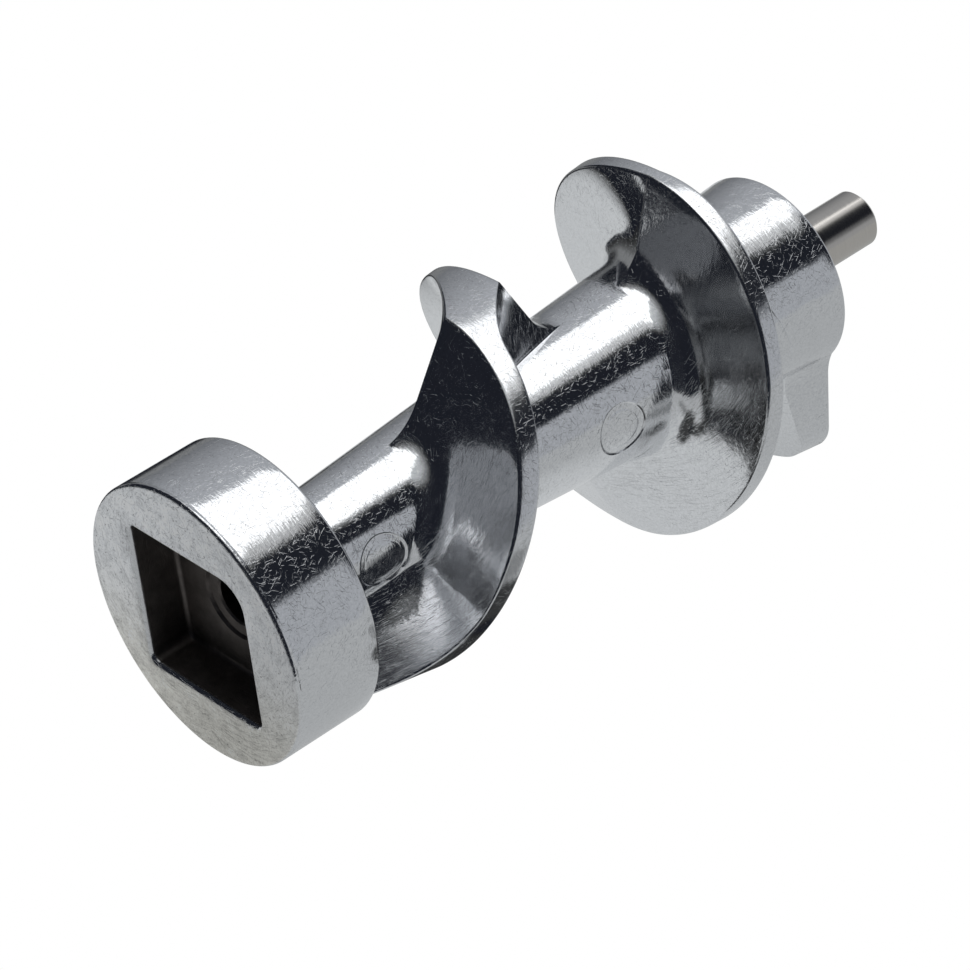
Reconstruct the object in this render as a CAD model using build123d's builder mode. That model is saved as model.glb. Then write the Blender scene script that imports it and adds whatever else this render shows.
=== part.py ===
"""Meat grinder auger: a die-cast screw with a pressed-in steel pin, in millimetres.

The screw stands on its hub face with its axis along +Z, hub at the bottom and pin at the top.
The casting parts along the XZ plane: one die half draws along +Y and the other along -Y.
Each half turn of the flight lies between two oblique planes that are parallel to Y, so it leaves its die half freely,
and the flight swells where one half turn passes into the next across the parting plane.
"back" is the side towards the hub, and "front" the side towards the pin.
"""
import os
from math import atan, cos, degrees, radians, sin, sqrt, tan

from build123d import *

# Hub
hub_radius = 19.0
hub_length = 12.8
hub_edge_chamfer = 0.4

# Square drive socket with a centring hole in its floor
socket_width = 20.6
socket_depth = 6.3
socket_corner_round = 1.2
socket_worn_corner_round = 3.4
socket_mouth_chamfer = 0.6
pilot_seat_radius = 4.9
pilot_seat_depth = 0.4
pilot_radius = 3.2
pilot_depth = 14.0

# Core, widening from the hub to the front end face
core_back_radius = 7.1
core_front_radius = 13.5
screw_length = 98.0

# Rim of the flight: a cone from the hub, then straight, set in a little where it leaves the hub
rim_back_radius = 18.75
rim_front_radius = 24.5
rim_cone_end = 82.0
rim_set_in = 1.0
rim_set_in_height = 12.0
rim_edge_chamfer = 0.4

# Rise of the rim's back edge: from the hub, over each half turn, and in the step from each one to the next
rise_from_hub = 7.7
turn_1_rise = 22.9
turn_1_step = 7.3
turn_2_rise = 17.3
turn_2_step = -0.2
turn_3_rise = 10.5
turn_3_step = -0.7
rise_to_end = 7.8

# Width of the rim along the axis, in the first turn, where the second half turn starts, and in the second turn
first_land = 3.2
crossing_land = 1.8
second_land = 2.6

# Section of the flight between rim and root
face_draft = 1.5
root_fillet = 4.0
fillet_sink = 0.15

# Ramp of the flight out of the hub
run_in_angle = 120.0
run_in_cover = 0.5
run_in_sink = 4.8
run_in_land = 2.0
ramp_angle = 75.0

# Angles over which the flight swells after and before it crosses the parting plane
back_swell_angle = 45.0
front_swell_angle = 25.0

# Angles of the sections of a half turn, closer together where the flight swells
section_angles = (0, 15, 30, 45, 70, 110, 140, 155, 167.5, 180)

# Lug that the tail of the flight forms on the front end face, with a back that slopes towards the core
lug_root_reach = 10.4
lug_tip_reach = 8.9
lug_far_reach = 2.0
lug_tip_radius = 25.8
lug_length = 3.6
lug_root_length = 14.0
lug_back_draft = 16.0
lug_round = 5.0
lug_root_fillet = 9.5
lug_side_land = 0.3

# Flats that the ejector pins leave on the core
ejector_radius = 3.6
ejector_sink = 0.2
ejector_heights = (23.4, 60.8)

# Steel pin
pin_radius = 3.9
pin_reach = 16.5
pin_chamfer = 0.5
pin_shank_radius = 3.4
pin_shank_length = 14.0

# Overlap of bodies that become one
overlap = 2.0

core_taper = (core_front_radius - core_back_radius) / (screw_length - hub_length)
rim_taper = (rim_front_radius - rim_back_radius) / (rim_cone_end - hub_length)

# Heights of the rim's back and front edges where each half turn starts and ends
turn_1_start = hub_length + rise_from_hub
turn_1_end = turn_1_start + turn_1_rise
turn_2_start = turn_1_end + turn_1_step
turn_2_end = turn_2_start + turn_2_rise
turn_3_start = turn_2_end + turn_2_step
turn_3_end = turn_3_start + turn_3_rise
turn_4_start = turn_3_end + turn_3_step
turn_4_end = screw_length - rise_to_end
back_edges = [
    (turn_1_start, turn_1_end),
    (turn_2_start, turn_2_end),
    (turn_3_start, turn_3_end),
    (turn_4_start, turn_4_end),
]
lands = [
    (first_land, first_land),
    (crossing_land, second_land),
    (second_land, second_land),
    (second_land, second_land),
]
front_edges = [(back[0] + land[0], back[1] + land[1]) for back, land in zip(back_edges, lands)]
last_turn = len(back_edges) - 1

# Room that the lug's far side leaves for its root fillet, between the core and the round of the tip
lug_core_radius = core_front_radius - fillet_sink
lug_side_end = sqrt((lug_tip_radius - lug_round) ** 2 - (lug_round - lug_far_reach) ** 2) - lug_side_land
lug_side_room = lug_side_end**2 - lug_core_radius**2 + lug_far_reach**2
lug_root_room = lug_side_room / (2 * (lug_core_radius - lug_far_reach))

# Heights inside the hub where the ramp's back and front faces start
run_in_front = hub_length - run_in_sink
run_in_back = run_in_front - run_in_land


def core_radius(height):
    return core_back_radius + core_taper * (height - hub_length)


def ease(share):
    """Goes from 0 to 1 with a slow start and a slow end."""
    share = min(max(share, 0.0), 1.0)
    return share * share * (3 - 2 * share)


def rim_radius(height):
    cone = rim_back_radius + rim_taper * (min(height, rim_cone_end) - hub_length)
    return cone - rim_set_in * (1 - ease((height - hub_length) / rim_set_in_height))


def swell(share):
    """Goes from 0 to 1 with a fast start and a slow end."""
    return 1 - (1 - min(max(share, 0.0), 1.0)) ** 2


def oblique_height(edge, angle, radius):
    """Height on the oblique plane whose rim goes from edge[0] to edge[1] over a half turn."""
    middle = (edge[0] + edge[1]) / 2
    rise = -(edge[1] - edge[0]) / 2 * cos(radians(angle))
    return middle + rise * radius / rim_radius(middle + rise)


def back_height(turn, angle, radius):
    """Back face of a half turn, led out of the hub or out of the half turn before it."""
    if turn < 0:
        return run_in_back + (run_in_front - run_in_back) * ease(1 - (180 - angle) / run_in_angle)
    own = oblique_height(back_edges[turn], angle, radius)
    if turn == 0:
        return run_in_front + (own - run_in_front) * ease(angle / ramp_angle)
    before = oblique_height(back_edges[turn - 1], 180, radius)
    return before + (own - before) * swell(angle / back_swell_angle)


def front_height(turn, angle, radius):
    """Front face of a half turn, led into the half turn after it or past the end face."""
    after = screw_length + overlap
    if turn < last_turn:
        after = oblique_height(front_edges[turn + 1], 0, radius)
    if turn < 0:
        return run_in_front + (after - run_in_front) * ease(1 - (180 - angle) / run_in_angle)
    own = oblique_height(front_edges[turn], angle, radius)
    return after + (own - after) * swell((180 - angle) / front_swell_angle)


def meeting_height(face_height, turn, angle, surface_radius):
    """Height where a face of the flight meets the rim's cone or the core."""
    height = hub_length
    for _ in range(20):
        height = face_height(turn, angle, surface_radius(height))
    return height


def toward(start, end, distance):
    """Point at a distance from start on the line to end."""
    return start + (end - start).normalized() * distance


def flight_section(turn, angle):
    """Edges of the section of a half turn at an angle past its start: x is the radius, y the height."""
    back_rim = meeting_height(back_height, turn, angle, rim_radius)
    front_rim = meeting_height(front_height, turn, angle, rim_radius)
    back_root = meeting_height(back_height, turn, angle, core_radius) - face_draft
    front_root = meeting_height(front_height, turn, angle, core_radius) + face_draft
    back_tip = Vector(rim_radius(back_rim), back_rim)
    front_tip = Vector(rim_radius(front_rim), front_rim)
    back_corner = Vector(core_radius(back_root), back_root)
    front_corner = Vector(core_radius(front_root), front_root)
    back_end = max(back_root - root_fillet, run_in_cover)
    front_end = front_root + root_fillet
    back_foot = Vector(core_radius(back_end) - fillet_sink, back_end)
    front_foot = Vector(core_radius(front_end) - fillet_sink, front_end)
    inside = core_back_radius / 2
    with BuildLine(Plane.XY) as section:
        back_root_curve = Bezier(back_foot, back_corner, toward(back_corner, back_tip, root_fillet))
        front_root_curve = Bezier(toward(front_corner, front_tip, root_fillet), front_corner, front_foot)
        Polyline(
            back_root_curve @ 1,
            toward(back_tip, back_corner, rim_edge_chamfer),
            toward(back_tip, front_tip, rim_edge_chamfer),
            toward(front_tip, back_tip, rim_edge_chamfer),
            toward(front_tip, front_corner, rim_edge_chamfer),
            front_root_curve @ 0,
        )
        Polyline(front_foot, (inside, front_foot.Y), (inside, back_foot.Y), back_foot)
    return section.edges()


def radial_plane(turn, angle):
    """Plane through the axis, with its x outwards and its y along the axis. The flight is left-handed."""
    around = radians(180 * (1 - turn) - angle)
    return Plane(origin=(0, 0, 0), x_dir=(cos(around), sin(around), 0), z_dir=(sin(around), -cos(around), 0))


os.makedirs("parts", exist_ok=True)

# Lug, with the part of the core that it stands on
with BuildPart() as lug:
    with BuildSketch(Plane.XY.offset(screw_length)):
        Circle(lug_core_radius)
        with BuildSketch(mode=Mode.PRIVATE) as lug_bar:
            with BuildLine():
                Polyline(
                    (0, -lug_far_reach),
                    (0, lug_root_reach),
                    (-lug_tip_radius, lug_tip_reach),
                    (-lug_tip_radius, -lug_far_reach),
                    close=True,
                )
            make_face()
            Circle(lug_tip_radius, mode=Mode.INTERSECT)
            tip_corners = lug_bar.vertices().group_by(lambda corner: corner.center().length)[-1]
            fillet(tip_corners, lug_round)
        add(lug_bar.sketch)
        lug_roots = vertices().group_by(lambda corner: corner.center().length)[0]
        fillet(lug_roots, min(lug_root_fillet, lug_root_room))
    extrude(amount=-lug_root_length, taper=degrees(atan(core_taper)))
    back_slope = tan(radians(lug_back_draft))
    lug_back_corner = (-lug_tip_radius, lug_tip_reach, screw_length - lug_length)
    split(bisect_by=Plane(origin=lug_back_corner, z_dir=(back_slope, -back_slope, 1)), keep=Keep.TOP)

with BuildPart() as auger_casting:
    # Hub and core, turned about the axis
    with BuildSketch(Plane.XZ):
        with BuildLine():
            Polyline(
                (0, 0),
                (hub_radius, 0),
                (hub_radius, hub_length),
                (core_back_radius, hub_length),
                (core_radius(screw_length + overlap), screw_length + overlap),
                (0, screw_length + overlap),
                close=True,
            )
        hub_and_core = make_face()
        chamfer(hub_and_core.vertices().group_by(Axis.X)[-1], hub_edge_chamfer)
    revolve()

    # Half turns of the flight, after the ramp out of the hub
    for turn in range(-1, len(back_edges)):
        start_angle = 180 - run_in_angle if turn < 0 else 0
        for section_angle in section_angles:
            angle = start_angle + (180 - start_angle) * section_angle / 180
            with BuildSketch(radial_plane(turn, angle)):
                make_face(flight_section(turn, angle))
        loft()

    # Front end face, and the lug on it
    split(bisect_by=Plane.XY.offset(screw_length), keep=Keep.BOTTOM)
    add(lug.part)

    # Square drive socket with a broken mouth edge
    with BuildSketch(Plane.XY) as socket_outline:
        Rectangle(socket_width, socket_width)
        worn_corner = socket_outline.vertices().sort_by(Axis((0, 0, 0), (1, 1, 0)))[-1]
        fillet(worn_corner, socket_worn_corner_round)
        sharp_corners = socket_outline.vertices().filter_by(lambda corner: corner.X * corner.Y < 0 or corner.X < 0)
        fillet(sharp_corners, socket_corner_round)
    extrude(amount=socket_depth, mode=Mode.SUBTRACT)
    with BuildSketch(Plane.XY):
        offset(socket_outline.sketch, socket_mouth_chamfer)
    extrude(amount=socket_mouth_chamfer, taper=45, mode=Mode.SUBTRACT)
    with Locations((0, 0, socket_depth)):
        Cylinder(pilot_seat_radius, 2 * pilot_seat_depth, mode=Mode.SUBTRACT)
        Cylinder(pilot_radius, 2 * pilot_depth, mode=Mode.SUBTRACT)

    # Ejector flats on the near side of the core
    for height in ejector_heights:
        flat = Plane(origin=(0, core_radius(height) - ejector_sink, height), x_dir=(1, 0, 0), z_dir=(0, 1, 0))
        with BuildSketch(flat):
            Circle(ejector_radius)
        extrude(amount=-overlap)
        with BuildSketch(flat):
            Circle(ejector_radius)
        extrude(amount=overlap, mode=Mode.SUBTRACT)

    # Seat of the pin's shank
    with BuildSketch(Plane.XY.offset(screw_length)):
        Circle(pin_shank_radius)
    extrude(amount=-pin_shank_length, mode=Mode.SUBTRACT)

auger_casting.part.label = "auger_casting"
export_step(auger_casting.part, "parts/auger_casting.step")

# Pin with a shoulder on the end face and a shank pressed into the casting
with BuildPart() as front_pin:
    with BuildSketch(Plane.XY.offset(screw_length)):
        Circle(pin_radius)
    extrude(amount=pin_reach)
    chamfer(front_pin.edges().group_by(Axis.Z)[-1], pin_chamfer)
    with BuildSketch(Plane.XY.offset(screw_length)):
        Circle(pin_shank_radius)
    extrude(amount=-pin_shank_length)

front_pin.part.label = "front_pin"
export_step(front_pin.part, "parts/front_pin.step")
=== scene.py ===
"""Looks of the meat grinder auger: a bright tumbled die casting with a turned steel pin.

The casting is meshed again, finely, from the sizes of its solid, because polished metal shows every facet.
Lengths are in millimetres until a mesh is made, and meshes are in metres, in the frame of the solids.
"""
import math

import bmesh
import bpy
from mathutils import Matrix, Vector


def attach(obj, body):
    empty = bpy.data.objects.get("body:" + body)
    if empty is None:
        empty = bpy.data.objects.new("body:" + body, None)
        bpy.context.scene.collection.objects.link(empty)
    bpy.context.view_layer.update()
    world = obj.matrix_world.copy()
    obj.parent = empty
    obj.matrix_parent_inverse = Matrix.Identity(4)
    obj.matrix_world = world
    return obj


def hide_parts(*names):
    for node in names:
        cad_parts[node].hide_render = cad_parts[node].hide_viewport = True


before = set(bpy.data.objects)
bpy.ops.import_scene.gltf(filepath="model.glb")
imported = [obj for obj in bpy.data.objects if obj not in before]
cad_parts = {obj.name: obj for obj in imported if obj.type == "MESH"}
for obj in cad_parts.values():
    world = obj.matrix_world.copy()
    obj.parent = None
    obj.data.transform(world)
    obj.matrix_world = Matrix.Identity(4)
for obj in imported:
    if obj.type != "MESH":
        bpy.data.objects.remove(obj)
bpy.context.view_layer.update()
MM = 0.001

# Hub and drive socket
HUB_RADIUS = 19.0
HUB_LENGTH = 12.8
HUB_EDGE = 0.5
SOCKET_HALF = 10.3
SOCKET_DEPTH = 6.3
SOCKET_CORNER = 1.2
SOCKET_WORN_CORNER = 3.4
SOCKET_MOUTH = 0.6
SOCKET_FLOOR_ROUND = 0.7
SOCKET_CORNER_LOSS = 0.6
PILOT_SEAT_RADIUS = 4.9
PILOT_SEAT_DEPTH = 0.4
PILOT_RADIUS = 3.2
PILOT_DEPTH = 14.0
PILOT_SEAT_SLOPE = 0.3
PILOT_EDGE = 0.25
PILOT_CONE = 1.2

# Core and front end
CORE_BACK_RADIUS = 7.1
CORE_FRONT_RADIUS = 13.5
CORE_ROOT_ROUND = 1.0
SCREW_LENGTH = 98.0
END_EDGE = 0.45

# Flight: rim, section, and the heights of the rim's back edge over its half turns
RIM_BACK_RADIUS = 18.75
RIM_FRONT_RADIUS = 24.46
RIM_CONE_END = 82.0
RIM_SET_IN = 1.0
RIM_SET_IN_HEIGHT = 12.0
RIM_EDGE = 0.4
FACE_DRAFT = 1.5
ROOT_FILLET = 4.0
FILLET_SINK = 0.08
BACK_EDGES = ((20.5, 43.4), (50.7, 68.0), (67.8, 78.3), (77.6, 90.2))
LANDS = ((3.2, 3.2), (1.8, 2.6), (2.6, 2.6), (2.6, 2.6))
LAST_TURN = len(BACK_EDGES) - 1
RUN_IN_ANGLE = 120.0
RUN_IN_BACK = 6.0
RUN_IN_FRONT = 8.0
RAMP_ANGLE = 75.0
BACK_SWELL_ANGLE = 45.0
FRONT_SWELL_ANGLE = 25.0
PAST_END = 2.0

# Lug on the end face
LUG_ROOT_REACH = 10.4
LUG_TIP_REACH = 8.9
LUG_FAR_REACH = 2.0
LUG_TIP_RADIUS = 25.75
LUG_LENGTH = 3.6
LUG_BACK_DRAFT = 16.0
LUG_ROUND = 5.0
LUG_ROOT_FILLET = 9.5

# Ejector marks and pin
EJECTOR_RADIUS = 3.6
EJECTOR_SINK = 0.2
EJECTOR_STEPS = 64
EJECTOR_HEIGHTS = (23.4, 60.8)
PIN_RADIUS = 3.9
PIN_REACH = 16.5
PIN_SHANK_RADIUS = 3.4
PIN_SHANK_LENGTH = 14.0
PIN_CHAMFER = 0.5

# Fineness of the meshes
TURN_STEP = 1.5
ROUND_STEPS = 288
CORNER_STEPS = 8
CREASE = 32

CORE_TAPER = (CORE_FRONT_RADIUS - CORE_BACK_RADIUS) / (SCREW_LENGTH - HUB_LENGTH)
RIM_TAPER = (RIM_FRONT_RADIUS - RIM_BACK_RADIUS) / (RIM_CONE_END - HUB_LENGTH)
FRONT_EDGES = [(back[0] + land[0], back[1] + land[1]) for back, land in zip(BACK_EDGES, LANDS)]


# Shape of the flight

def core_radius(height):
    return CORE_BACK_RADIUS + CORE_TAPER * (height - HUB_LENGTH)


def ease(share):
    """Goes from 0 to 1 with a slow start and a slow end."""
    share = min(max(share, 0.0), 1.0)
    return share * share * (3 - 2 * share)


def swell(share):
    """Goes from 0 to 1 with a fast start and a slow end."""
    return 1 - (1 - min(max(share, 0.0), 1.0)) ** 2


def rim_radius(height):
    cone = RIM_BACK_RADIUS + RIM_TAPER * (min(height, RIM_CONE_END) - HUB_LENGTH)
    return cone - RIM_SET_IN * (1 - ease((height - HUB_LENGTH) / RIM_SET_IN_HEIGHT))


def oblique_height(edge, angle, radius):
    """Height on the oblique plane whose rim goes from edge[0] to edge[1] over a half turn."""
    middle = (edge[0] + edge[1]) / 2
    rise = -(edge[1] - edge[0]) / 2 * math.cos(math.radians(angle))
    return middle + rise * radius / rim_radius(middle + rise)


def back_height(turn, angle, radius):
    """Back face of a half turn, led out of the hub or out of the half turn before it."""
    if turn < 0:
        return RUN_IN_BACK + (RUN_IN_FRONT - RUN_IN_BACK) * ease(1 - (180 - angle) / RUN_IN_ANGLE)
    own = oblique_height(BACK_EDGES[turn], angle, radius)
    if turn == 0:
        return RUN_IN_FRONT + (own - RUN_IN_FRONT) * ease(angle / RAMP_ANGLE)
    before = oblique_height(BACK_EDGES[turn - 1], 180, radius)
    return before + (own - before) * swell(angle / BACK_SWELL_ANGLE)


def front_height(turn, angle, radius):
    """Front face of a half turn, led into the half turn after it or past the end face."""
    after = SCREW_LENGTH + PAST_END
    if turn < LAST_TURN:
        after = oblique_height(FRONT_EDGES[turn + 1], 0, radius)
    if turn < 0:
        return RUN_IN_FRONT + (after - RUN_IN_FRONT) * ease(1 - (180 - angle) / RUN_IN_ANGLE)
    own = oblique_height(FRONT_EDGES[turn], angle, radius)
    return after + (own - after) * swell((180 - angle) / FRONT_SWELL_ANGLE)


def meeting_height(face_height, turn, angle, surface_radius):
    """Height where a face of the flight meets the rim's cone or the core."""
    height = HUB_LENGTH
    for _ in range(20):
        height = face_height(turn, angle, surface_radius(height))
    return height


def toward(start, end, distance):
    return start + (end - start).normalized() * distance


def bend(start, corner, end, steps):
    """Points of a quadratic curve, its last one left out."""
    shares = [step / steps for step in range(steps)]
    return [start * (1 - t) ** 2 + corner * 2 * t * (1 - t) + end * t * t for t in shares]


def run(start, end, steps):
    """Points of a straight line, its last one left out."""
    return [start.lerp(end, step / steps) for step in range(steps)]


def flight_section(turn, angle):
    """Closed outline of the flight's section: x is the radius, y the height."""
    back_rim = meeting_height(back_height, turn, angle, rim_radius)
    front_rim = meeting_height(front_height, turn, angle, rim_radius)
    back_root = meeting_height(back_height, turn, angle, core_radius) - FACE_DRAFT
    front_root = meeting_height(front_height, turn, angle, core_radius) + FACE_DRAFT
    back_tip = Vector((rim_radius(back_rim), back_rim))
    front_tip = Vector((rim_radius(front_rim), front_rim))
    back_corner = Vector((core_radius(back_root), back_root))
    front_corner = Vector((core_radius(front_root), front_root))
    back_foot = Vector((core_radius(back_root - ROOT_FILLET) - FILLET_SINK, back_root - ROOT_FILLET))
    front_foot = Vector((core_radius(front_root + ROOT_FILLET) - FILLET_SINK, front_root + ROOT_FILLET))
    inside = CORE_BACK_RADIUS / 2
    back_face = (toward(back_corner, back_tip, ROOT_FILLET), toward(back_tip, back_corner, RIM_EDGE))
    land = (toward(back_tip, front_tip, RIM_EDGE), toward(front_tip, back_tip, RIM_EDGE))
    front_face = (toward(front_tip, front_corner, RIM_EDGE), toward(front_corner, front_tip, ROOT_FILLET))
    outline = bend(back_foot, back_corner, back_face[0], 12)
    outline += run(*back_face, 8)
    outline += bend(back_face[1], back_tip, land[0], 5)
    outline += run(*land, 4)
    outline += bend(land[1], front_tip, front_face[0], 5)
    outline += run(*front_face, 8)
    outline += bend(front_face[1], front_corner, front_foot, 12)
    outline += [front_foot, Vector((inside, front_foot.y)), Vector((inside, back_foot.y))]
    return outline


# Mesh building

def new_piece(name, mesh):
    piece = bpy.data.objects.new(name, mesh)
    bpy.context.scene.collection.objects.link(piece)
    return piece


def tube_mesh(name, rings, closed=False):
    """Mesh through rings of points in millimetres. An open tube gets end caps."""
    shape = bmesh.new()
    rows = [[shape.verts.new(point * MM) for point in ring] for ring in rings]
    pairs = list(zip(rows, rows[1:]))
    if closed:
        pairs.append((rows[-1], rows[0]))
    else:
        shape.faces.new(rows[0])
        shape.faces.new(rows[-1])
    count = len(rings[0])
    for low, high in pairs:
        for i in range(count):
            shape.faces.new((low[i], low[(i + 1) % count], high[(i + 1) % count], high[i]))
    bmesh.ops.recalc_face_normals(shape, faces=shape.faces)
    mesh = bpy.data.meshes.new(name)
    shape.to_mesh(mesh)
    shape.free()
    return mesh


def turned_mesh(name, profile):
    """Solid turned about Z from a profile of (radius, height) points that starts and ends on the axis."""
    shape = bmesh.new()
    rows = []
    turns = [2 * math.pi * step / ROUND_STEPS for step in range(ROUND_STEPS)]
    for radius, height in profile[1:-1]:
        ring = [Vector((radius * math.cos(a), radius * math.sin(a), height)) for a in turns]
        rows.append([shape.verts.new(point * MM) for point in ring])
    for low, high in zip(rows, rows[1:]):
        for i in range(ROUND_STEPS):
            j = (i + 1) % ROUND_STEPS
            shape.faces.new((low[i], low[j], high[j], high[i]))
    for (_, height), ring in ((profile[0], rows[0]), (profile[-1], rows[-1])):
        tip = shape.verts.new((0, 0, height * MM))
        for i in range(ROUND_STEPS):
            shape.faces.new((tip, ring[i], ring[(i + 1) % ROUND_STEPS]))
    bmesh.ops.recalc_face_normals(shape, faces=shape.faces)
    mesh = bpy.data.meshes.new(name)
    shape.to_mesh(mesh)
    shape.free()
    return mesh


def combine(base, tool, operation):
    """Joins the tool to the base or cuts it away, and deletes the tool."""
    cut = base.modifiers.new(operation, "BOOLEAN")
    cut.operation = operation
    cut.solver = "MANIFOLD"
    cut.object = tool
    shown = base.evaluated_get(bpy.context.evaluated_depsgraph_get())
    result = bpy.data.meshes.new_from_object(shown)
    old = base.data
    base.modifiers.clear()
    base.data = result
    bpy.data.meshes.remove(old)
    bpy.data.objects.remove(tool)


def arc(centre, radius, start, end, steps):
    """Points of an arc in (radius, height), angles in degrees."""
    angles = [math.radians(start + (end - start) * step / steps) for step in range(steps + 1)]
    return [(centre[0] + radius * math.cos(a), centre[1] + radius * math.sin(a)) for a in angles]


def stretch(start, end, steps):
    """Points of a straight run in (radius, height), its ends left out."""
    return [(start[0] + (end[0] - start[0]) * s / steps, start[1] + (end[1] - start[1]) * s / steps)
            for s in range(1, steps)]


def square_outline(half, corner_sizes, height):
    """Square with round corners: corner_sizes goes round from (+,+) to (-,+), (-,-) and (+,-)."""
    points = []
    for quarter, size in enumerate(corner_sizes):
        sign_x = 1 if quarter in (0, 3) else -1
        sign_y = 1 if quarter in (0, 1) else -1
        centre = (sign_x * (half - size), sign_y * (half - size))
        for step in range(CORNER_STEPS + 1):
            a = math.radians(90 * quarter + 90 * step / CORNER_STEPS)
            points.append(Vector((centre[0] + size * math.cos(a), centre[1] + size * math.sin(a), height)))
    return points


def socket_tool():
    """Square socket with a rounded mouth and a rounded floor."""
    corners = (SOCKET_WORN_CORNER, SOCKET_CORNER, SOCKET_CORNER, SOCKET_CORNER)
    stations = [(-1.0, SOCKET_MOUTH + 1.0), (0.0, SOCKET_MOUTH)]
    stations += [(0.1, 0.4), (0.25, 0.2), (0.45, 0.06), (0.7, 0.0)]
    for step in range(1, 7):
        a = math.radians(90 * step / 6)
        height = SOCKET_DEPTH - SOCKET_FLOOR_ROUND * (1 - math.sin(a))
        stations.append((height, -SOCKET_FLOOR_ROUND * (1 - math.cos(a))))
    rings = []
    for height, out in stations:
        sizes = [corner + max(out, -SOCKET_CORNER_LOSS) for corner in corners]
        rings.append(square_outline(SOCKET_HALF + out, sizes, height))
    return new_piece("socket_tool", tube_mesh("socket_tool", rings))


def pilot_tool():
    """Centring hole with a cone at its end, and the shallow seat around its mouth."""
    seat = SOCKET_DEPTH + PILOT_SEAT_DEPTH
    seat_mouth = PILOT_SEAT_RADIUS + PILOT_SEAT_SLOPE
    end = SOCKET_DEPTH + PILOT_DEPTH
    profile = [(0, SOCKET_DEPTH - 1), (seat_mouth, SOCKET_DEPTH - 1), (seat_mouth, SOCKET_DEPTH)]
    profile += [(PILOT_SEAT_RADIUS, seat), (PILOT_RADIUS + PILOT_EDGE, seat)]
    profile += [(PILOT_RADIUS, seat + PILOT_EDGE), (PILOT_RADIUS, end), (0, end + PILOT_CONE)]
    return new_piece("pilot_tool", turned_mesh("pilot_tool", profile))


def place_on_line(start, along, aside, distance):
    """Point at a distance from the axis on a line that runs outwards, moved aside to its left."""
    along = along.normalized()
    start = start + Vector((-along.y, along.x)) * aside
    reach = start.dot(along)
    return start + along * (math.sqrt(reach * reach - start.dot(start) + distance * distance) - reach)


def direction(point):
    return math.degrees(math.atan2(point.y, point.x)) % 360


def lug_outline(shrink):
    """Outline of the lug and the core under it, with round corners, drawn in by a distance all round."""
    core = CORE_FRONT_RADIUS - FILLET_SINK - shrink
    tip = LUG_TIP_RADIUS - shrink
    corner = LUG_ROUND - shrink
    fillet = LUG_ROOT_FILLET + shrink
    near = Vector((0, LUG_ROOT_REACH - shrink))
    near_along = Vector((-LUG_TIP_RADIUS, LUG_TIP_REACH - LUG_ROOT_REACH))
    far = Vector((0, -LUG_FAR_REACH + shrink))
    far_along = Vector((-1, 0))
    near_slope = direction(near_along)
    near_root = place_on_line(near, near_along, -fillet, core + fillet)
    near_tip = place_on_line(near, near_along, corner, tip - corner)
    far_tip = place_on_line(far, far_along, -corner, tip - corner)
    far_root = place_on_line(far, far_along, fillet, core + fillet)
    outline = arc((0, 0), core, direction(far_root) - 360, direction(near_root), 90)[1:-1]
    outline += arc(near_root, fillet, direction(near_root) - 180, near_slope - 270, 16)
    outline += arc(near_tip, corner, near_slope - 90, direction(near_tip), 12)
    outline += arc((0, 0), tip, direction(near_tip), direction(far_tip), 8)[1:-1]
    outline += arc(far_tip, corner, direction(far_tip), 270, 12)
    outline += arc(far_root, fillet, 90, direction(far_root) - 180, 16)
    return outline


def lug_back(x, y):
    """Height of the sloping back of the lug."""
    slope = math.tan(math.radians(LUG_BACK_DRAFT))
    return SCREW_LENGTH - LUG_LENGTH - slope * (x + LUG_TIP_RADIUS) + slope * (y - LUG_TIP_REACH)


def lug_tool():
    """Lug that the flight runs out into, tapered like the core, with an eased end edge and a sloping back."""
    rings = []
    for depth, inset in ((0.0, END_EDGE), (0.06, 0.22), (0.18, 0.08), (END_EDGE, 0.0)):
        outline = lug_outline(depth * CORE_TAPER + inset)
        rings.append([Vector((x, y, SCREW_LENGTH - depth)) for x, y in outline])
    outline = lug_outline(2 * LUG_LENGTH * CORE_TAPER)
    rings.append([Vector((x, y, lug_back(x, y))) for x, y in outline])
    return new_piece("lug_tool", tube_mesh("lug_tool", rings))


def ejector_tool(height):
    """Shallow round mark that an ejector pin leaves in the core, its floor following the core's round."""
    depths = [(1.06, 0.20), (0.97, -0.6 * EJECTOR_SINK), (0.94, -0.9 * EJECTOR_SINK), (0.90, -EJECTOR_SINK)]
    depths += [(share, -EJECTOR_SINK) for share in (0.75, 0.6, 0.45, 0.3, 0.15, 0.02)]
    turns = [2 * math.pi * step / EJECTOR_STEPS for step in range(EJECTOR_STEPS)]
    rings = []
    for reach, rise in depths:
        radius = EJECTOR_RADIUS * reach
        places = [(radius * math.cos(a), height + radius * math.sin(a)) for a in turns]
        rings.append([Vector((x, math.sqrt(core_radius(z) ** 2 - x * x) + rise, z)) for x, z in places])
    lid = [Vector((point.x, CORE_FRONT_RADIUS, point.z)) for point in rings[0]]
    return new_piece("ejector_tool", tube_mesh("ejector_tool", [lid] + rings))


def flight_tube():
    """The whole flight, from its run-in inside the hub to past the end face."""
    rings = []
    for turn in range(-1, len(BACK_EDGES)):
        start = 180 - RUN_IN_ANGLE if turn < 0 else TURN_STEP
        steps = round((180 - start) / TURN_STEP)
        for step in range(steps + 1):
            angle = start + (180 - start) * step / steps
            around = math.radians(180 * (1 - turn) - angle)
            section = flight_section(turn, angle)
            rings.append([Vector((p.x * math.cos(around), p.x * math.sin(around), p.y)) for p in section])
    return new_piece("flight_tube", tube_mesh("flight_tube", rings))


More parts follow.
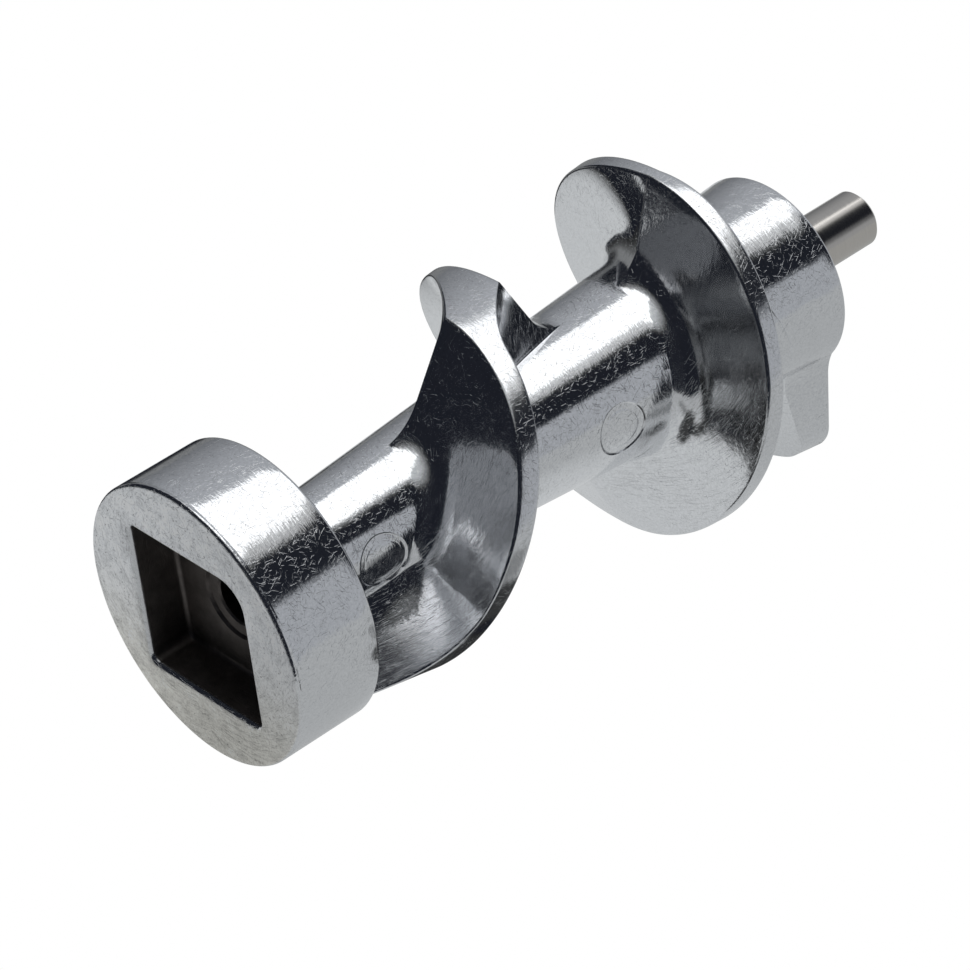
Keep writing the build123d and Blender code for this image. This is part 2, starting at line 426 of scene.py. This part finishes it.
def hub_and_core():
    """Hub and core turned in one, with rounded edges."""
    profile = [(0, 0), (4, 0), (8, 0), (12, 0), (16, 0)]
    profile += arc((HUB_RADIUS - HUB_EDGE, HUB_EDGE), HUB_EDGE, -90, 0, 6)
    profile += stretch((HUB_RADIUS, HUB_EDGE), (HUB_RADIUS, HUB_LENGTH - HUB_EDGE), 8)
    profile += arc((HUB_RADIUS - HUB_EDGE, HUB_LENGTH - HUB_EDGE), HUB_EDGE, 0, 90, 6)
    root = core_radius(HUB_LENGTH) + CORE_ROOT_ROUND
    profile += stretch((HUB_RADIUS - HUB_EDGE, HUB_LENGTH), (root, HUB_LENGTH), 6)
    profile += arc((root, HUB_LENGTH + CORE_ROOT_ROUND), CORE_ROOT_ROUND, -90, -180, 6)
    end = (CORE_FRONT_RADIUS, SCREW_LENGTH - END_EDGE)
    profile += stretch((core_radius(HUB_LENGTH + CORE_ROOT_ROUND), HUB_LENGTH + CORE_ROOT_ROUND), end, 60)
    profile += arc((CORE_FRONT_RADIUS - END_EDGE, SCREW_LENGTH - END_EDGE), END_EDGE, 0, 90, 6)
    profile += [(8, SCREW_LENGTH), (0, SCREW_LENGTH)]
    return new_piece("auger_casting_skin", turned_mesh("auger_casting_skin", profile))


def block(name, low, high):
    shape = bmesh.new()
    bmesh.ops.create_cube(shape, size=1.0)
    for vert in shape.verts:
        vert.co = Vector(((low[i] + high[i]) / 2 + vert.co[i] * (high[i] - low[i]) for i in range(3))) * MM
    mesh = bpy.data.meshes.new(name)
    shape.to_mesh(mesh)
    shape.free()
    return new_piece(name, mesh)


def casting_skin():
    """The die casting: hub, core, flight and lug, with the socket, marks and pin seat cut in."""
    casting = hub_and_core()
    flight = flight_tube()
    combine(flight, block("end_tool", (-40, -40, SCREW_LENGTH), (40, 40, SCREW_LENGTH + 20)), "DIFFERENCE")
    combine(casting, flight, "UNION")
    combine(casting, lug_tool(), "UNION")
    combine(casting, socket_tool(), "DIFFERENCE")
    combine(casting, pilot_tool(), "DIFFERENCE")
    for height in EJECTOR_HEIGHTS:
        combine(casting, ejector_tool(height), "DIFFERENCE")
    seat = [(0, SCREW_LENGTH - PIN_SHANK_LENGTH), (PIN_SHANK_RADIUS, SCREW_LENGTH - PIN_SHANK_LENGTH)]
    seat += [(PIN_SHANK_RADIUS, SCREW_LENGTH + 1), (0, SCREW_LENGTH + 1)]
    combine(casting, new_piece("seat_tool", turned_mesh("seat_tool", seat)), "DIFFERENCE")
    return casting


def pin_skin():
    """Turned steel pin with a broken edge at its tip."""
    tip = SCREW_LENGTH + PIN_REACH
    profile = [(0, SCREW_LENGTH - PIN_SHANK_LENGTH), (PIN_SHANK_RADIUS, SCREW_LENGTH - PIN_SHANK_LENGTH)]
    profile += [(PIN_SHANK_RADIUS, SCREW_LENGTH), (PIN_RADIUS, SCREW_LENGTH)]
    profile += [(PIN_RADIUS, tip - PIN_CHAMFER), (PIN_RADIUS - PIN_CHAMFER, tip), (0, tip)]
    return new_piece("front_pin_skin", turned_mesh("front_pin_skin", profile))


def smooth(piece, crease):
    """Shades a piece as smooth up to a crease angle in degrees."""
    for polygon in piece.data.polygons:
        polygon.use_smooth = True
    piece.data.set_sharp_from_angle(angle=math.radians(crease))


# Node trees written as expressions

class Value:
    """A number that changes over a surface. Arithmetic on it adds Math nodes."""

    def __init__(self, finish, socket):
        self.finish = finish
        self.socket = socket

    def math(self, operation, first, second):
        return self.finish.node("ShaderNodeMath", {"operation": operation}, {0: first, 1: second})

    def __add__(self, other):
        return self.math("ADD", self, other)

    def __sub__(self, other):
        return self.math("SUBTRACT", self, other)

    def __rsub__(self, other):
        return self.math("SUBTRACT", other, self)

    def __mul__(self, other):
        return self.math("MULTIPLY", self, other)

    def __truediv__(self, other):
        return self.math("DIVIDE", self, other)

    def __pow__(self, other):
        return self.math("POWER", self, other)

    def __abs__(self):
        return self.math("ABSOLUTE", self, 0.0)

    __radd__ = __add__
    __rmul__ = __mul__


class Finish:
    """The node tree of a material or of the surroundings."""

    def __init__(self, tree):
        self.tree = tree
        tree.nodes.clear()

    def node(self, kind, settings=None, inputs=None, output=0):
        made = self.tree.nodes.new(kind)
        for name, value in (settings or {}).items():
            setattr(made, name, value)
        for name, value in (inputs or {}).items():
            if isinstance(value, Value):
                self.tree.links.new(value.socket, made.inputs[name])
            else:
                made.inputs[name].default_value = value
        return Value(self, made.outputs[output]) if made.outputs else None

    def step(self, value, low, high):
        """Goes smoothly from 0 at low to 1 at high."""
        settings = {"interpolation_type": "SMOOTHSTEP"}
        return self.node("ShaderNodeMapRange", settings, {"Value": value, "From Min": low, "From Max": high})

    def largest(self, first, second):
        return self.node("ShaderNodeMath", {"operation": "MAXIMUM"}, {0: first, 1: second})

    def smallest(self, first, second):
        return self.node("ShaderNodeMath", {"operation": "MINIMUM"}, {0: first, 1: second})

    def colour(self, share, first, second):
        """Mixes two colours."""
        return self.node("ShaderNodeMix", {"data_type": "RGBA"}, {0: share, 6: first, 7: second}, output=2)

    def tinted(self, colour, factor):
        """Multiplies a colour by a number."""
        return self.node("ShaderNodeVectorMath", {"operation": "SCALE"}, {0: colour, "Scale": factor})

    def along(self, direction, axis):
        """Share of a direction along an axis."""
        inputs = {0: direction, 1: axis}
        return self.node("ShaderNodeVectorMath", {"operation": "DOT_PRODUCT"}, inputs, output="Value")

    def from_line(self, first, second, start, end):
        """Distance in a plane from a straight line between two points."""
        run = (end[0] - start[0], end[1] - start[1])
        share = ((first - start[0]) * run[0] + (second - start[1]) * run[1]) / (run[0] ** 2 + run[1] ** 2)
        share = self.largest(self.smallest(share, 1.0), 0.0)
        return ((first - start[0] - share * run[0]) ** 2 + (second - start[1] - share * run[1]) ** 2) ** 0.5

    def place(self):
        """Position on the object in millimetres."""
        position = self.node("ShaderNodeTexCoord", output="Object")
        return self.node("ShaderNodeVectorMath", {"operation": "SCALE"}, {0: position, "Scale": 1 / MM})

    def grain(self, position, size, detail=2.0, roughness=0.5):
        """Noise with grains of about a size in millimetres, from 0 to 1."""
        inputs = {"Vector": position, "Scale": 1 / size, "Detail": detail, "Roughness": roughness}
        return self.node("ShaderNodeTexNoise", {"noise_dimensions": "3D"}, inputs, output="Fac")

    def brush(self, first, second, third):
        """Noise over three coordinates that are already scaled, from 0 to 1."""
        place = self.node("ShaderNodeCombineXYZ", None, {0: first, 1: second, 2: third})
        inputs = {"Vector": place, "Scale": 1.0, "Detail": 1.0}
        return self.node("ShaderNodeTexNoise", None, inputs, output="Fac")

    def strokes(self, first, second, third, turn, length, width):
        """Noise drawn out into strokes that lie in the surface, at an angle to its first coordinate."""
        lengthwise = first * math.cos(turn) + second * math.sin(turn)
        crosswise = second * math.cos(turn) - first * math.sin(turn)
        return self.brush(lengthwise / length, crosswise / width, third)


# Colours of the casting: polished, pitted, as cast, warmer on the hub face's side towards the table, and in
# the socket with oxide and painted shade
BRIGHT_METAL = (0.84, 0.85, 0.865, 1)
PIT_METAL = (0.36, 0.34, 0.32, 1)
AS_CAST_METAL = (0.29, 0.295, 0.305, 1)
TABLE_SIDE_WARM_METAL = (0.80, 0.78, 0.72, 1)
SOCKET_OXIDE_AND_SHADE = (0.20, 0.18, 0.17)

# Relief of the casting's finish in millimetres
WAVE_HEIGHT = 0.07
DENT_HEIGHT = 0.014
EDGE_DENT_HEIGHT = 0.10
PEEL_HEIGHT = 0.010
EDGE_PEEL_HEIGHT = 0.05
FINE_HEIGHT = 0.0004
FACE_FINE_HEIGHT = 0.006
LAND_FINE_HEIGHT = 0.004
BRUSH_HEIGHT = 0.011
SIDEWAYS_BRUSH_LOSS = 0.003
SCRATCH_DEPTH = 0.009
FACE_SCRATCH_DEPTH = 0.03
PIT_DEPTH = 0.012
MARK_DEPTH = 0.015
SEAM_HEIGHT = 0.05

# Scratches: directions in the surface in radians, length and width in millimetres
SCRATCH_TURNS = (0.35, 0.9, 1.45, 2.1, 2.7)
SCRATCH_LENGTH = 1.5
SCRATCH_WIDTH = 0.13

# Pin steel between its rings and on them
RING_VALLEY = (0.60, 0.57, 0.53, 1)
RING_CREST = (0.68, 0.65, 0.61, 1)
RING_HEIGHT = 0.002


def cast_alloy_finish():
    """Bright tumbled zinc-grey die casting: orange peel, dents, short scratches and an as-cast socket
    darkened by oxide and painted shade.
    """
    material = bpy.data.materials.new("cast_alloy_finish")
    material.use_nodes = True
    finish = Finish(material.node_tree)
    place = finish.place()
    x = finish.node("ShaderNodeSeparateXYZ", None, {0: place}, output="X")
    y = finish.node("ShaderNodeSeparateXYZ", None, {0: place}, output="Y")
    z = finish.node("ShaderNodeSeparateXYZ", None, {0: place}, output="Z")
    radius = (x * x + y * y) ** 0.5

    face = 1 - finish.step(z, 0.02, 0.25)
    across = finish.largest(abs(x), abs(y))
    in_depth = finish.step(z, 0.3, 0.9) * (1 - finish.step(z, 7.2, 7.6))
    in_square = in_depth * (1 - finish.step(across, 10.9, 11.2))
    in_pilot = (1 - finish.step(radius, 3.6, 3.9)) * (1 - finish.step(z, 30, 31))
    socket = finish.largest(in_square, in_pilot)
    rim = RIM_BACK_RADIUS + RIM_TAPER * (finish.smallest(z, RIM_CONE_END) - HUB_LENGTH)
    edge = finish.step(radius, HUB_RADIUS - 1.0, HUB_RADIUS - 0.5) * (1 - finish.step(z, 0.4, 0.8))
    land = finish.step(radius - rim, -0.5, -0.15) * finish.step(z, HUB_LENGTH, HUB_LENGTH + 2)

    normal = finish.node("ShaderNodeNewGeometry", output="Normal")
    forward = finish.step(finish.along(normal, (0, 0, 1)), 0.45, 0.75)
    before_end = 1 - finish.step(z, SCREW_LENGTH - 1.5, SCREW_LENGTH - 1)
    as_cast = forward * (0.4 + 0.6 * finish.step(z, 20, 24)) * before_end
    marks = 0.0
    for mark_height in EJECTOR_HEIGHTS:
        apart = ((z - mark_height) ** 2 + x * x) ** 0.5
        inner = 1 - finish.step(abs(apart - EJECTOR_RADIUS + 0.9), 0.05, 0.25)
        marks = inner * finish.step(y, 3.0, 4.0) + marks
    backward = finish.step(finish.along(normal, (0, 0, -1)), 0.6, 0.8)
    on_second_turn = finish.step(x, 15.0, 16.0) * finish.step(z, 70, 72) * backward
    seam = (1 - finish.step(abs(y), 0.05, 0.16)) * on_second_turn

    wave = finish.grain(place, 7.0, 1.0)
    dents = finish.grain(place, 2.2, 1.0)
    peel = finish.grain(place, 0.8, 2.0, 0.6)
    fine = finish.grain(place, 0.28, 2.0)
    pit_level = 0.79 - 0.12 * face - 0.06 * land
    pits = finish.step(finish.grain(place, 0.5, 2.0), pit_level, pit_level + 0.03)
    around = finish.node("ShaderNodeMath", {"operation": "ARCTAN2"}, {0: y, 1: x}) * radius
    sideways = finish.step(abs(finish.along(normal, (0, 0, 1))), 0.3, 0.6)
    brushed_round = finish.brush(around / 1.4, z / 0.24, radius / 2)
    brushed_out = finish.brush(radius / 1.6, around / 0.24, z / 2)
    brushed = brushed_round + (brushed_out - brushed_round) * sideways
    scratch = 0.0
    along = z + (radius - z) * sideways + 0.9 * dents
    depth = (radius + (z - radius) * sideways) / 3
    for turn in SCRATCH_TURNS:
        strokes = finish.strokes(around, along, depth + turn, turn, SCRATCH_LENGTH, SCRATCH_WIDTH)
        scratch = finish.step(strokes, 0.68, 0.75) + scratch

    height = wave * WAVE_HEIGHT + dents * (DENT_HEIGHT + EDGE_DENT_HEIGHT * edge)
    height = height + peel * (PEEL_HEIGHT + EDGE_PEEL_HEIGHT * edge)
    height = height + fine * (FINE_HEIGHT + FACE_FINE_HEIGHT * face + LAND_FINE_HEIGHT * land)
    height = height + brushed * (BRUSH_HEIGHT - SIDEWAYS_BRUSH_LOSS * sideways) * (1 - face)
    height = height - scratch * (SCRATCH_DEPTH + FACE_SCRATCH_DEPTH * face)
    height = height - pits * PIT_DEPTH - marks * MARK_DEPTH + seam * SEAM_HEIGHT
    bump = finish.node("ShaderNodeBump", None, {"Strength": 1.0, "Distance": MM, "Height": height})

    blotch = finish.grain(place, 2.5, 3.0, 0.6)
    grit = finish.grain(place, 0.4, 3.0, 0.7)
    stains = (0.9 * grit + 0.9 * blotch - 0.82 - 0.3 * scratch) * face
    colour = finish.colour(pits * 0.7, BRIGHT_METAL, PIT_METAL)
    colour = finish.colour(as_cast, colour, AS_CAST_METAL)
    # Warmer tint on the side of the hub face towards the table
    colour = finish.colour(face * (1 - finish.step(x, -16, 6)), colour, TABLE_SIDE_WARM_METAL)
    colour = finish.tinted(colour, 0.80 + 0.30 * fine + 0.09 * face + stains)
    # Socket and pilot hole: blotchy dark oxide together with painted shade of the recess
    colour = finish.colour(socket, colour, finish.tinted(SOCKET_OXIDE_AND_SHADE, 0.4 + 1.2 * blotch))
    roughness = 0.08 + 0.05 * wave + 0.26 * face + 0.06 * land + 0.35 * socket + 0.2 * pits + 0.12 * as_cast

    inputs = {"Base Color": colour, "Roughness": roughness, "Metallic": 1.0, "Normal": bump}
    shader = finish.node("ShaderNodeBsdfPrincipled", None, inputs)
    finish.node("ShaderNodeOutputMaterial", None, {"Surface": shader})
    return material


def pin_steel_finish():
    """Turned and ground steel with fine rings round the axis."""
    material = bpy.data.materials.new("pin_steel_finish")
    material.use_nodes = True
    finish = Finish(material.node_tree)
    place = finish.place()
    rings = finish.node("ShaderNodeVectorMath", {"operation": "MULTIPLY"}, {0: place, 1: (0.15, 0.15, 8.0)})
    inputs = {"Vector": rings, "Scale": 1.0, "Detail": 3.0}
    ring = finish.node("ShaderNodeTexNoise", None, inputs, output="Fac")
    inputs = {"Strength": 1.0, "Distance": MM, "Height": ring * RING_HEIGHT}
    bump = finish.node("ShaderNodeBump", None, inputs)
    roughness = 0.13 + 0.08 * ring
    colour = finish.colour(ring, RING_VALLEY, RING_CREST)
    inputs = {"Base Color": colour, "Roughness": roughness, "Metallic": 1.0, "Normal": bump}
    shader = finish.node("ShaderNodeBsdfPrincipled", None, inputs)
    finish.node("ShaderNodeOutputMaterial", None, {"Surface": shader})
    return material


def dress(piece, node, material):
    """Lets a piece stand for a solid, with its finish."""
    piece.data.materials.clear()
    piece.data.materials.append(material)
    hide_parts(node)
    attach(piece, "root")


casting = casting_skin()
smooth(casting, CREASE)
dress(casting, "auger_casting", cast_alloy_finish())
pin = pin_skin()
smooth(pin, CREASE)
dress(pin, "front_pin", pin_steel_finish())


# Studio: the screw lies on a pale table, so the table stands on the -X side

TABLE_UP = Vector((0.995, 0.082, 0.060)).normalized()
TO_CAMERA = Vector((-0.019, 0.733, -0.680))
TO_CAMERA = (TO_CAMERA - TABLE_UP * TO_CAMERA.dot(TABLE_UP)).normalized()
TO_RIGHT = TABLE_UP.cross(TO_CAMERA)


def on_table(front, right, up):
    """Place in metres from distances in millimetres towards the camera, to its right and up."""
    return (TO_CAMERA * front + TO_RIGHT * right + TABLE_UP * up) * MM


def stand(thing, right, up, back, place):
    """Places a lamp or the camera by the directions of its own axes."""
    thing.matrix_world = Matrix((
        (right.x, up.x, back.x, place.x),
        (right.y, up.y, back.y, place.y),
        (right.z, up.z, back.z, place.z),
        (0, 0, 0, 1),
    ))


# Colours of the studio
DARK_ROOM = (0.013, 0.015, 0.021)
SCREEN_COLOUR = (0.40, 0.415, 0.44, 1)
CEILING_TINT = (0.95, 0.98, 1.0)
PAPER_TINT = (0.96, 0.985, 1.0)
PAPER_COLOUR = (0.8, 0.8, 0.8, 1)
WHITE = (1, 1, 1, 1)

# Reach of the table towards the camera and to the right
TABLE_FRONT = (-300, 60)
TABLE_RIGHT = (-170, 600)

# Brightness of the paper as the metal mirrors it, and its falls near the camera or far right, and on the left
PAPER_LEVEL = 0.62
PAPER_FALL = 0.16
PAPER_LEFT_FALL = 0.06

# Unlit back left part of the table: where its edge bends, how that edge runs, and its brightness far behind
UNLIT_BEND = -98
UNLIT_STEP = 32
UNLIT_SLOPE = 0.475
UNLIT_START = 9
FAR_LEVEL = 0.22
SHADOW_EDGE = 1.5

# Soft shadows under the screw: start and end as (front, right), half width and depth
TABLE_SHADOWS = (
    ((-60, -13), (-24, 11), 6.5, 1.0),
    ((-17, 10), (-13, 40), 5.5, 0.95),
    ((-16, 52), (-3, 50), 11.0, 0.92),
    ((4, 66), (12, 86), 7.0, 0.5),
)


def table_sheet():
    """White paper under the screw, with soft shadows and an unlit part on its back left."""
    lowest = min(vertex.co.dot(TABLE_UP) for vertex in casting.data.vertices) / MM - 0.2
    places = [(TABLE_FRONT[i], TABLE_RIGHT[j]) for i, j in ((0, 0), (1, 0), (1, 1), (0, 1))]
    corners = [on_table(front, right, lowest) for front, right in places]
    shape = bmesh.new()
    shape.faces.new([shape.verts.new(corner) for corner in corners])
    mesh = bpy.data.meshes.new("table_sheet")
    shape.to_mesh(mesh)
    shape.free()
    sheet = new_piece("table_sheet", mesh)
    material = bpy.data.materials.new("table_paper")
    material.use_nodes = True
    finish = Finish(material.node_tree)
    right = finish.along(finish.place(), TO_RIGHT)
    front = finish.along(finish.place(), TO_CAMERA)
    nearer = finish.step(front, -14, 2)
    level = PAPER_LEVEL - PAPER_FALL * finish.largest(finish.step(right, 50, 95), nearer)
    level = level - PAPER_LEFT_FALL * (1 - finish.step(right, -4, 12)) * finish.step(front, -56, -52)
    level = level * finish.largest(finish.step(right, -10, 16), finish.step(front, -62, -56))
    past_bend = UNLIT_STEP * (1 - finish.step(front, UNLIT_BEND, UNLIT_BEND + 6))
    unlit_edge = past_bend + UNLIT_SLOPE * finish.largest(UNLIT_BEND - front, 0.0) - UNLIT_START
    beside = finish.step(right - unlit_edge, -SHADOW_EDGE, SHADOW_EDGE)
    bright = finish.largest(finish.step(front, -51, -49), beside)
    far = FAR_LEVEL * (1 - finish.step(front, -150, -95))
    level = far + (level - far) * bright
    for start, end, half_width, depth in TABLE_SHADOWS:
        apart = finish.from_line(front, right, start, end)
        outside = finish.step(apart, half_width - SHADOW_EDGE, half_width + SHADOW_EDGE)
        level = level * (1 - depth * (1 - outside))
    paper = finish.node("ShaderNodeBsdfDiffuse", None, {"Color": PAPER_COLOUR})
    glow = finish.tinted(PAPER_TINT, level)
    glow = finish.node("ShaderNodeVectorMath", {"operation": "MAXIMUM"}, {0: glow, 1: DARK_ROOM})
    lit = finish.node("ShaderNodeEmission", None, {"Color": glow, "Strength": 1.0})
    glossy = finish.node("ShaderNodeLightPath", output="Is Glossy Ray")
    both = finish.node("ShaderNodeMixShader", None, {0: glossy, 1: paper, 2: lit})
    finish.node("ShaderNodeOutputMaterial", None, {"Surface": both})
    mesh.materials.append(material)
    sheet.visible_camera = False


def surroundings():
    """White behind the object. The metal mirrors a dark room with a light screen to the right and behind."""
    world = bpy.data.worlds.new("studio")
    bpy.context.scene.world = world
    world.use_nodes = True
    finish = Finish(world.node_tree)
    direction = finish.node("ShaderNodeTexCoord", output="Generated")
    front = finish.along(direction, TO_CAMERA)
    up = finish.along(direction, TABLE_UP)
    starts = finish.step(finish.along(direction, TO_RIGHT * 0.53 - TO_CAMERA * 0.85), -0.04, 0.04)
    ends = finish.step(finish.along(direction, TO_RIGHT * 0.906 - TO_CAMERA * 0.423), -0.06, 0.06)
    right = finish.along(direction, TO_RIGHT)
    low_part = 1 - finish.step(up, 0.12, 0.30)
    high_part = 1 - finish.step(up, 0.44, 0.52)
    tall = low_part + (high_part - low_part) * finish.step(front, 0.10, 0.25)
    tall = finish.largest(tall, 1 - finish.step(front, -0.45, -0.20))
    shade = 1 - (1 - finish.step(right, 0.0, 0.5)) * (0.50 - 0.80 * up)
    screen = starts * ends * tall * shade
    ceiling = 0.30 * finish.step(up, 0.79, 0.92) + 0.27 * finish.step(up, 0.88, 0.97)
    mirrored = finish.colour(screen, (*DARK_ROOM, 1), SCREEN_COLOUR)
    glow = finish.tinted(CEILING_TINT, ceiling)
    mirrored = finish.node("ShaderNodeVectorMath", {"operation": "MAXIMUM"}, {0: mirrored, 1: glow})
    seen = finish.node("ShaderNodeLightPath", output="Is Camera Ray")
    shown = finish.colour(seen, mirrored, WHITE)
    light = finish.node("ShaderNodeBackground", None, {"Color": shown, "Strength": 1.0})
    finish.node("ShaderNodeOutputWorld", None, {"Surface": light})


# Overhead lamp and the weaker strip on its right, and the camera of the photograph
SOFTBOX_HEIGHT = 600
SOFTBOX_FRONT = (-470, 40)
SOFTBOX_RIGHT = (-200, 310)
SOFTBOX_LEVEL = 1.08
SOFTBOX_EDGE = (310, 410)
SOFTBOX_EDGE_LEVEL = 0.35
CAMERA_SENSOR = 36
CAMERA_LENS = 161.3
CAMERA_PLACE = Vector((0.3105, 0.3440, -0.2280))
CAMERA_RIGHT = Vector((-0.0994, 0.6748, 0.7312))
CAMERA_UP = Vector((0.8063, -0.3760, 0.4566))


def overhead_lamp(name, front, right, height, level):
    """Broad lamp that faces the table."""
    lamp = bpy.data.objects.new(name, bpy.data.lights.new(name, "AREA"))
    bpy.context.scene.collection.objects.link(lamp)
    depth = front[1] - front[0]
    width = right[1] - right[0]
    lamp.data.shape = "RECTANGLE"
    lamp.data.size = width * MM
    lamp.data.size_y = depth * MM
    lamp.data.energy = level * math.pi * width * depth * MM * MM
    centre = on_table(sum(front) / 2, sum(right) / 2, height)
    stand(lamp, TO_RIGHT, -TO_CAMERA, TABLE_UP, centre)


def photo_camera():
    camera = bpy.data.objects.new("camera", bpy.data.cameras.new("camera"))
    bpy.context.scene.collection.objects.link(camera)
    bpy.context.scene.camera = camera
    camera.data.sensor_width = CAMERA_SENSOR
    camera.data.lens = CAMERA_LENS
    stand(camera, CAMERA_RIGHT, CAMERA_UP, CAMERA_RIGHT.cross(CAMERA_UP), CAMERA_PLACE)


table_sheet()
surroundings()
overhead_lamp("softbox", SOFTBOX_FRONT, SOFTBOX_RIGHT, SOFTBOX_HEIGHT, SOFTBOX_LEVEL)
overhead_lamp("softbox_edge", SOFTBOX_FRONT, SOFTBOX_EDGE, SOFTBOX_HEIGHT, SOFTBOX_EDGE_LEVEL)
photo_camera()
bpy.context.scene.view_settings.view_transform = "Standard"
